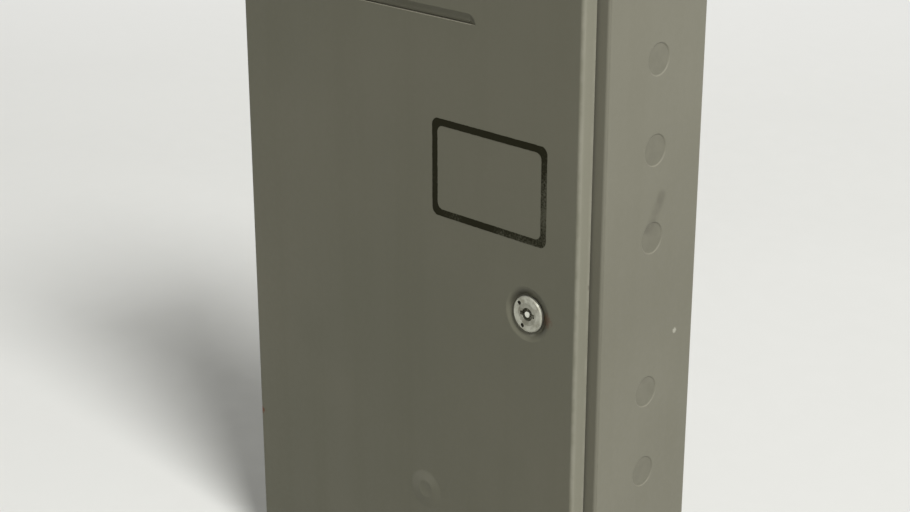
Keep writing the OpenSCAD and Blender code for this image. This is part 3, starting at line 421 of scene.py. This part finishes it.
# Painted shade in the index dimples, on faces sunk below the lock's front
LOCK_DIMPLE_SHADE = srgb(50, 48, 40)
LOCK_SCALE = 260.0
LOCK_ROUGH = (*MID, 0.42, 0.58)
RING_PITCH = 0.35 * MM
RING_H = 0.006 * MM
PLUG_INSIDE = (7.5 * MM, 6.8 * MM, 0.0, 0.45)
PIN_INSIDE = (2.1 * MM, 1.7 * MM)
DIMPLE_FROM = (7 * MM, 7.4 * MM)
DIMPLE_TO = (10.9 * MM, 10.5 * MM)
DIMPLE_UNDER = (0.25 * MM, 0.7 * MM)
DIMPLE_ABOVE = (4.6 * MM, 4.2 * MM)
SPANGLE_DARK = srgb(179, 182, 182)
SPANGLE_PALE = srgb(201, 204, 203)
SPANGLE_DULL = srgb(156, 156, 150)
SPANGLE_CELLS = 165.0
SPANGLE_CLOUD_SCALE = 18.0
SPANGLE_DULLED = (0.5, 0.8, 0.0, 0.3)
SPANGLE_GRAIN_SCALE = 340.0
SPANGLE_GRAIN_H = 0.02 * MM
SPANGLE_ROUGH = (0.0, 1.0, 0.38, 0.5)
SPANGLE_EDGE_R = 0.3 * MM


def worn_metal(name, bright, dull, rough):
    """Bare metal with cloudy tarnish and fine scratches."""
    s = Shader(name)
    cloud = s.noise(TARNISH_SCALE, detail=4.0)
    lines = s.noise(1.0, stretch=SCRATCH_STRETCH)
    tone = s.mix(s.span(cloud, *TARNISHED), bright, dull)
    ends = [rough + spread for spread in METAL_ROUGH_SPREAD]
    roughness = s.span(s.math("ADD", cloud, lines), *MID_OF_TWO, *ends)
    normal = s.bump(lines, SCRATCH_H, s.soft_edges(METAL_EDGE_R))
    return s.set(base_color=tone, metallic=1.0, roughness=roughness, normal=normal).material


def lock_metal(name):
    """Die-cast zinc, turned on its face, with painted shade over the plug and in the dimples, and a
    painted glint on the pin.
    """
    s = Shader(name)
    radius = s.vector("LENGTH", s.off_axis("lock_housing"))
    rings = s.math("SINE", s.math("MULTIPLY", radius, 2 * math.pi / RING_PITCH))
    cloud = s.noise(LOCK_SCALE, detail=3.0)
    tone = s.mix(s.span(cloud, *TARNISHED), LOCK_BRIGHT, LOCK_DULL)
    tone = s.mix(s.span(radius, *PLUG_INSIDE), tone, LOCK_PLUG_SHADE)
    tone = s.mix(s.span(radius, *PIN_INSIDE), tone, LOCK_PIN_GLINT)
    depth = s.math("SUBTRACT", s.axes(s.place)[1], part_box("lock_housing")[0].y)
    sunk = s.product(s.span(depth, *DIMPLE_UNDER), s.span(depth, *DIMPLE_ABOVE))
    dimple = s.product(s.span(radius, *DIMPLE_FROM), s.span(radius, *DIMPLE_TO))
    tone = s.mix(s.product(sunk, dimple), tone, LOCK_DIMPLE_SHADE)
    roughness = s.span(cloud, *LOCK_ROUGH)
    normal = s.bump(rings, RING_H, s.soft_edges(METAL_EDGE_R))
    return s.set(base_color=tone, metallic=1.0, roughness=roughness, normal=normal).material


def galvanised(name):
    """Hot-dip zinc with its spangle of crystal patches."""
    s = Shader(name)
    patch = s.axes(s.cells(SPANGLE_CELLS, "Color"))[0]
    cloud = s.noise(SPANGLE_CLOUD_SCALE, detail=3.0)
    tone = s.mix(patch, SPANGLE_DARK, SPANGLE_PALE)
    tone = s.mix(s.span(cloud, *SPANGLE_DULLED), tone, SPANGLE_DULL)
    roughness = s.span(patch, *SPANGLE_ROUGH)
    normal = s.bump(s.noise(SPANGLE_GRAIN_SCALE), SPANGLE_GRAIN_H, s.soft_edges(SPANGLE_EDGE_R))
    return s.set(base_color=tone, metallic=1.0, roughness=roughness, normal=normal).material


# Plastics, foam and ink: colours, noise scales, heights of their relief and ranges of their wear
SHADE_SCALE = 35.0
SHADED = (0.3, 0.75)
PLASTIC_DUSTY = (*MID, 0.1, 0.35)
PLASTIC_ROUGH = 0.5
PLASTIC_ROUGH_SPREAD = (-0.06, 0.08)
SPARK_SCALE = 1500.0
SPARK_H = 0.03 * MM
GLAZE_H = 0.01 * MM
PLASTIC_EDGE_R = 0.45 * MM
FOAM_PORE = srgb(24, 24, 23)
FOAM_SKIN = srgb(52, 51, 48)
FOAM_CELLS = 750.0
FOAM_CLOSED = (0.1, 0.6)
FOAM_H = 0.25 * MM
FOAM_ROUGH = (0.0, 0.7, 0.8, 0.96)
INK = srgb(34, 33, 18)
INK_BROAD_SCALE = 45.0
INK_FINE_SCALE = 700.0
INK_NOISE_SHARE = 0.5
INK_LOWER_RIGHT = (-270 * MM, -180 * MM, 0.0, 0.22)
INK_WORN = (0.56, 0.78, 0.0, 0.5)
INK_H = 0.02 * MM
INK_ROUGH = (*MID, 0.5, 0.66)
INK_SPECULAR = 0.08


def moulded(name, colour, shade, rough=PLASTIC_ROUGH, relief=SPARK_H):
    """Moulded plastic: spark-eroded grain, softened edges, a little dust on top."""
    s = Shader(name)
    cloud = s.noise(SHADE_SCALE, detail=3.0)
    fine = s.noise(SPARK_SCALE, detail=1.0)
    tone = s.mix(s.span(cloud, *SHADED), colour, shade)
    tone = s.mix(s.product(s.facing_up(), s.span(cloud, *PLASTIC_DUSTY)), tone, DUST)
    ends = [rough + spread for spread in PLASTIC_ROUGH_SPREAD]
    roughness = s.span(cloud, *MID, *ends)
    normal = s.bump(fine, relief, s.soft_edges(PLASTIC_EDGE_R))
    return s.set(base_color=tone, roughness=roughness, normal=normal).material


def foam(name):
    """Closed-cell foam with open pores at its skin."""
    s = Shader(name)
    pores = s.cells(FOAM_CELLS, "Distance")
    tone = s.mix(s.span(pores, *FOAM_CLOSED), FOAM_PORE, FOAM_SKIN)
    roughness = s.span(pores, *FOAM_ROUGH)
    return s.set(base_color=tone, roughness=roughness, normal=s.bump(pores, FOAM_H)).material


def print_ink(name):
    """Dark printed line, rubbed away most towards its lower right, so that the paint shows through in
    places.
    """
    s = Shader(name)
    broad = s.noise(INK_BROAD_SCALE, detail=3.0)
    fine = s.noise(INK_FINE_SCALE, detail=3.0)
    x, _, z = s.axes(s.place)
    fading = s.span(s.math("SUBTRACT", x, z), *INK_LOWER_RIGHT)
    both = s.math("ADD", s.product(broad, INK_NOISE_SHARE), s.product(fine, INK_NOISE_SHARE))
    tone = s.mix(s.span(s.math("ADD", both, fading), *INK_WORN), INK, DOOR_DEEP)
    roughness = s.span(fine, *INK_ROUGH)
    normal = s.bump(fine, INK_H)
    s.set(base_color=tone, roughness=roughness, specular_ior_level=INK_SPECULAR, normal=normal)
    return s.material


FINISHES = {
    "painted_steel": painted("case_paint", "cabinet_body", PAINT_DEEP, PAINT_PALE, case_marks),
    "zinc_steel": worn_metal("zinc_plate", srgb(196, 198, 196), srgb(172, 170, 158), 0.34),
    "galvanised_steel": galvanised("galvanised"),
    "lock_metal": lock_metal("lock_zinc"),
    "gasket_foam": foam("foam"),
    "nylon": moulded("nylon", srgb(226, 222, 206), srgb(210, 204, 184), 0.42),
    "switch_plastic": moulded("switch_plastic", srgb(216, 216, 211), srgb(206, 205, 197)),
    "terminal_plastic": moulded("terminal_plastic", srgb(168, 168, 160), srgb(156, 155, 146)),
    "earth_plastic": moulded("earth_plastic", srgb(74, 124, 54), srgb(64, 110, 48)),
    "insulator_plastic": moulded("insulator_plastic", srgb(44, 76, 138), srgb(36, 64, 120), 0.3, GLAZE_H),
    "black_plastic": moulded("black_plastic", srgb(34, 34, 36), srgb(42, 42, 43), 0.42),
    "red_plastic": moulded("red_plastic", srgb(160, 34, 27), srgb(142, 30, 25), 0.42),
    "brass": worn_metal("brass", srgb(206, 183, 122), srgb(170, 146, 94), 0.3),
    "copper": worn_metal("copper", srgb(206, 138, 104), srgb(158, 98, 72), 0.32),
}
DOOR_PAINT = painted("door_paint", "door_panel", DOOR_DEEP, DOOR_PALE, door_marks)


def dress(piece, material):
    """Gives a piece one material all over."""
    piece.data.materials.clear()
    piece.data.materials.append(material)


for part in frame["record"]["subparts"]:
    dress(frame["nodes"][part["node"]], FINISHES[part["material_slot"]])
dress(frame["nodes"]["door_panel"], DOOR_PAINT)


def new_piece(name, mesh, body, material):
    """Makes an object from a bmesh, with its faces turned outwards, that rides on a body."""
    bmesh.ops.recalc_face_normals(mesh, faces=mesh.faces)
    data = bpy.data.meshes.new(name)
    mesh.to_mesh(data)
    mesh.free()
    piece = bpy.data.objects.new(name, data)
    bpy.context.scene.collection.objects.link(piece)
    dress(piece, material)
    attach(piece, body)


def rounded_rect(width, height, radius, steps):
    """Outline of a rectangle with round corners about the origin, anticlockwise."""
    points = []
    for corner, (sx, sz) in enumerate(((1, 1), (-1, 1), (-1, -1), (1, -1))):
        for step in range(steps + 1):
            angle = math.radians(90 * (corner + step / steps))
            points.append((sx * (width / 2 - radius) + radius * math.cos(angle),
                           sz * (height / 2 - radius) + radius * math.sin(angle)))
    return points


def divided(points, longest):
    """The same outline with no side longer than a given length."""
    result = []
    for (x0, z0), (x1, z1) in zip(points, points[1:] + points[:1]):
        parts = max(1, math.ceil(math.hypot(x1 - x0, z1 - z0) / longest))
        result += [(x0 + (x1 - x0) * k / parts, z0 + (z1 - z0) * k / parts) for k in range(parts)]
    return result


def bridge(mesh, first, second):
    """A ring of faces between two closed loops with as many points."""
    for i in range(len(first)):
        j = (i + 1) % len(first)
        mesh.faces.new((first[i], first[j], second[j], second[i]))


def prism(mesh, outline, back, front, chamfer):
    """A closed block between two depths, its front edge chamfered towards the outline's middle."""
    mid_x = sum(x for x, z in outline) / len(outline)
    mid_z = sum(z for x, z in outline) / len(outline)
    reach = min(math.hypot(x - mid_x, z - mid_z) for x, z in outline)
    shrink = 1 - chamfer / reach
    small = [(mid_x + (x - mid_x) * shrink, mid_z + (z - mid_z) * shrink) for x, z in outline]
    loops = []
    for points, y in ((outline, back), (outline, front + chamfer), (small, front)):
        loops.append([mesh.verts.new((x, y, z)) for x, z in points])
    for lower, upper in zip(loops, loops[1:]):
        bridge(mesh, lower, upper)
    mesh.faces.new(loops[0])
    mesh.faces.new(reversed(loops[-1]))


# The printed frame on the door
PRINT_W = 96 * MM
PRINT_H = 64 * MM
PRINT_LINE = 4.6 * MM
PRINT_R = 5 * MM
PRINT_R_STEPS = 8
PRINT_STEP = 1.5 * MM
PRINT_AT = (77.5 * MM, 341 * MM)
PRINT_T = 0.06 * MM
PRINT_SINK = 0.05 * MM
PRINT_RAGGED = 0.18 * MM
PRINT_RAGGED_SCALE = 900.0
PRINT_SEED = 5


def ragged(points):
    """Moves an outline's points a little, as the edge of a screen print wavers."""
    moved = []
    for x, z in points:
        shift = noise.noise_vector(Vector((x, z, 0.0)) * PRINT_RAGGED_SCALE)
        moved.append((x + shift.x * PRINT_RAGGED, z + shift.y * PRINT_RAGGED))
    return moved


def door_print():
    """A plain printed frame, with nothing in it."""
    noise.seed_set(PRINT_SEED)
    mesh = bmesh.new()
    outer = divided(rounded_rect(PRINT_W, PRINT_H, PRINT_R, PRINT_R_STEPS), PRINT_STEP)
    shrink = 1 - 2 * PRINT_LINE / PRINT_W, 1 - 2 * PRINT_LINE / PRINT_H
    inner = [(x * shrink[0], z * shrink[1]) for x, z in outer]
    back, front = DOOR_FACE + PRINT_SINK, DOOR_FACE - PRINT_T
    loops = []
    for points, y in ((outer, back), (outer, front), (inner, front), (inner, back)):
        placed = [(x + PRINT_AT[0], z + PRINT_AT[1]) for x, z in points]
        loops.append([mesh.verts.new((x, y, z)) for x, z in ragged(placed)])
    for first, second in zip(loops, loops[1:] + loops[:1]):
        bridge(mesh, first, second)
    new_piece("door_print", mesh, "door", print_ink("print_ink"))


# Screws and blank markers on the terminals, and how many terminals each row has
TERMINALS = {"terminal_blocks": 8, "earth_terminals": 2}
SCREW_R = 1.85 * MM
SCREW_SLOT = 0.7 * MM
SCREW_SLOT_DEPTH = 0.8 * MM
SCREW_IN = 1.8 * MM
SCREW_BACK = 6 * MM
SCREW_Z = 8.2 * MM
SCREW_CHAMFER = 0.15 * MM
SLOT_FLOOR_CHAMFER = 0.05 * MM
HEAD_OVERLAP = 0.2 * MM
ROUND_STEPS = 28
SAME_POINT = 0.05 * MM
TAG_GAP = 0.5 * MM
TAG_H = 5.4 * MM
TAG_R = 0.6 * MM
TAG_R_STEPS = 4
TAG_SINK = 1.2 * MM
TAG_PROUD = 0.5 * MM
TAG_CHAMFER = 0.25 * MM


def circle_part(centre, radius, low, high):
    """Outline of the part of a circle that lies between two heights."""
    points = []
    for step in range(ROUND_STEPS):
        angle = 2 * math.pi * step / ROUND_STEPS
        z = min(max(radius * math.sin(angle), low), high)
        x = math.copysign(math.sqrt(max(radius * radius - z * z, 0.0)), math.cos(angle))
        point = (centre[0] + x, centre[1] + z)
        if not points or math.dist(point, points[-1]) > SAME_POINT:
            points.append(point)
    if math.dist(points[0], points[-1]) < SAME_POINT:
        points.pop()
    return points


def terminal_places(node, count):
    """The terminals' front, the height of their middle, their pitch and the X of each."""
    low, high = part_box(node)
    pitch = (high.x - low.x) / count
    return low.y, (low.z + high.z) / 2, pitch, [low.x + (i + 0.5) * pitch for i in range(count)]


def slotted_screw(mesh, centre, front):
    """A round body up to the slot's floor, and the head's two halves on either side of the slot."""
    slot_floor = front + SCREW_IN + SCREW_SLOT_DEPTH
    body = circle_part(centre, SCREW_R, -SCREW_R, SCREW_R)
    prism(mesh, body, front + SCREW_BACK, slot_floor, SLOT_FLOOR_CHAMFER)
    for low, high in ((-SCREW_R, -SCREW_SLOT / 2), (SCREW_SLOT / 2, SCREW_R)):
        half = circle_part(centre, SCREW_R, low, high)
        prism(mesh, half, slot_floor + HEAD_OVERLAP, front + SCREW_IN, SCREW_CHAMFER)


def terminal_screws(node, count):
    """Slotted screws at the bottom of the terminals' holes."""
    mesh = bmesh.new()
    front, mid, _, places = terminal_places(node, count)
    for x in places:
        for z in (mid - SCREW_Z, mid + SCREW_Z):
            slotted_screw(mesh, (x, z), front)
    new_piece(node + "_screws", mesh, "cabinet", FINISHES["zinc_steel"])


def terminal_tags(node, count):
    """Blank marker tags, one to a terminal, in the groove along the fronts."""
    mesh = bmesh.new()
    front, mid, pitch, places = terminal_places(node, count)
    outline = rounded_rect(pitch - TAG_GAP, TAG_H, TAG_R, TAG_R_STEPS)
    for x in places:
        placed = [(x + px, mid + pz) for px, pz in outline]
        prism(mesh, placed, front + TAG_SINK, front - TAG_PROUD, TAG_CHAMFER)
    new_piece(node + "_tags", mesh, "cabinet", FINISHES["nylon"])


door_print()
for row, terminals in TERMINALS.items():
    terminal_screws(row, terminals)
    terminal_tags(row, terminals)


# Floor, light and camera, in metres and watts
FLOOR_REACH = 14.0
FLOOR_FAR = (0.9, 3.2)
FLOOR_PALE = srgb(226, 226, 222)
FLOOR_SHADE = srgb(221, 221, 217)
FLOOR_BOUNCE = srgb(126, 126, 122)
FLOOR_CLOUD_SCALE = 3.0
FLOOR_GRAIN_SCALE = 40.0
FLOOR_ROUGH = (*MID, 0.8, 0.9)
SKY_SEEN = (0.82, 0.82, 0.80, 1.0)
SKY_LIGHT = (0.152, 0.152, 0.143, 1.0)
AIM = Vector((0.0, 0.0, 0.28))
LAMP_SIZE = 2.4
KEY_AT = Vector((4.48, -1.6, 4.57))
KEY_POWER = 500.0
BACK_AT = Vector((-2.2, 2.6, 2.2))
BACK_POWER = 45.0


def seen_directly(tree):
    """1 for what the camera sees, straight on or in a reflection, and 0 for light that bounces."""
    path = tree.nodes.new("ShaderNodeLightPath")
    shown = path.outputs["Is Camera Ray"]
    for ray in ("Is Glossy Ray", "Is Transmission Ray"):
        either = tree.nodes.new("ShaderNodeMath")
        either.operation = "MAXIMUM"
        tree.links.new(shown, either.inputs[0])
        tree.links.new(path.outputs[ray], either.inputs[1])
        shown = either.outputs[0]
    return shown


def floor():
    """A pale floor that throws little light back on the object."""
    mesh = bpy.data.meshes.new("floor")
    side = FLOOR_REACH / 2
    corners = [(-side, -side, 0), (side, -side, 0), (side, side, 0), (-side, side, 0)]
    mesh.from_pydata(corners, [], [(0, 1, 2, 3)])
    obj = bpy.data.objects.new("floor", mesh)
    bpy.context.scene.collection.objects.link(obj)
    s = Shader("floor_paper")
    seen = seen_directly(s.tree)
    tone = s.mix(s.noise(FLOOR_CLOUD_SCALE), FLOOR_PALE, FLOOR_SHADE)
    tone = s.mix(seen, FLOOR_BOUNCE, tone)
    s.set(base_color=tone, roughness=s.span(s.noise(FLOOR_GRAIN_SCALE), *FLOOR_ROUGH))
    far = s.span(s.vector("LENGTH", s.place), *FLOOR_FAR)
    fade_to_sky(s, s.product(far, seen))
    dress(obj, s.material)


def fade_to_sky(s, amount):
    """Far from the object, what the camera sees of the floor goes over into the sky's colour."""
    sky_tone = s.add("ShaderNodeEmission")
    sky_tone.inputs["Color"].default_value = SKY_SEEN
    mix = s.add("ShaderNodeMixShader")
    s.feed(mix.inputs[0], amount)
    s.feed(mix.inputs[1], s.bsdf.outputs[0])
    s.feed(mix.inputs[2], sky_tone.outputs[0])
    s.feed(s.tree.nodes["Material Output"].inputs["Surface"], mix.outputs[0])


def lamp(name, at, power):
    """A round soft lamp that points at the object."""
    data = bpy.data.lights.new(name, "AREA")
    data.shape = "DISK"
    data.size = LAMP_SIZE
    data.energy = power
    obj = bpy.data.objects.new(name, data)
    bpy.context.scene.collection.objects.link(obj)
    obj.location = at
    obj.rotation_mode = "QUATERNION"
    obj.rotation_quaternion = (AIM - at).to_track_quat("-Z", "Y")


def sky():
    """Pale where the camera and reflections see it, and dimmer as light on the object."""
    world = bpy.data.worlds.new("studio")
    bpy.context.scene.world = world
    world.use_nodes = True
    tree = world.node_tree
    seen = tree.nodes["Background"]
    seen.inputs["Color"].default_value = SKY_SEEN
    light = tree.nodes.new("ShaderNodeBackground")
    light.inputs["Color"].default_value = SKY_LIGHT
    mix = tree.nodes.new("ShaderNodeMixShader")
    tree.links.new(seen_directly(tree), mix.inputs[0])
    tree.links.new(light.outputs[0], mix.inputs[1])
    tree.links.new(seen.outputs[0], mix.inputs[2])
    tree.links.new(mix.outputs[0], tree.nodes["World Output"].inputs["Surface"])


def camera():
    """The photograph's camera."""
    data = bpy.data.cameras.new("camera")
    data.sensor_width = SENSOR_MM
    data.lens = SENSOR_MM * FOCAL_PX / IMAGE_W
    obj = bpy.data.objects.new("camera", data)
    bpy.context.scene.collection.objects.link(obj)
    turn, dip = math.radians(CAMERA_AZIMUTH), math.radians(CAMERA_PITCH)
    look = Vector((-math.sin(turn) * math.cos(dip), math.cos(turn) * math.cos(dip), -math.sin(dip)))
    obj.location = CAMERA_AT
    obj.rotation_mode = "QUATERNION"
    obj.rotation_quaternion = look.to_track_quat("-Z", "Y")
    bpy.context.scene.camera = obj


floor()
sky()
lamp("key", KEY_AT, KEY_POWER)
lamp("back", BACK_AT, BACK_POWER)
camera()
bpy.context.scene.view_settings.view_transform = "Standard"
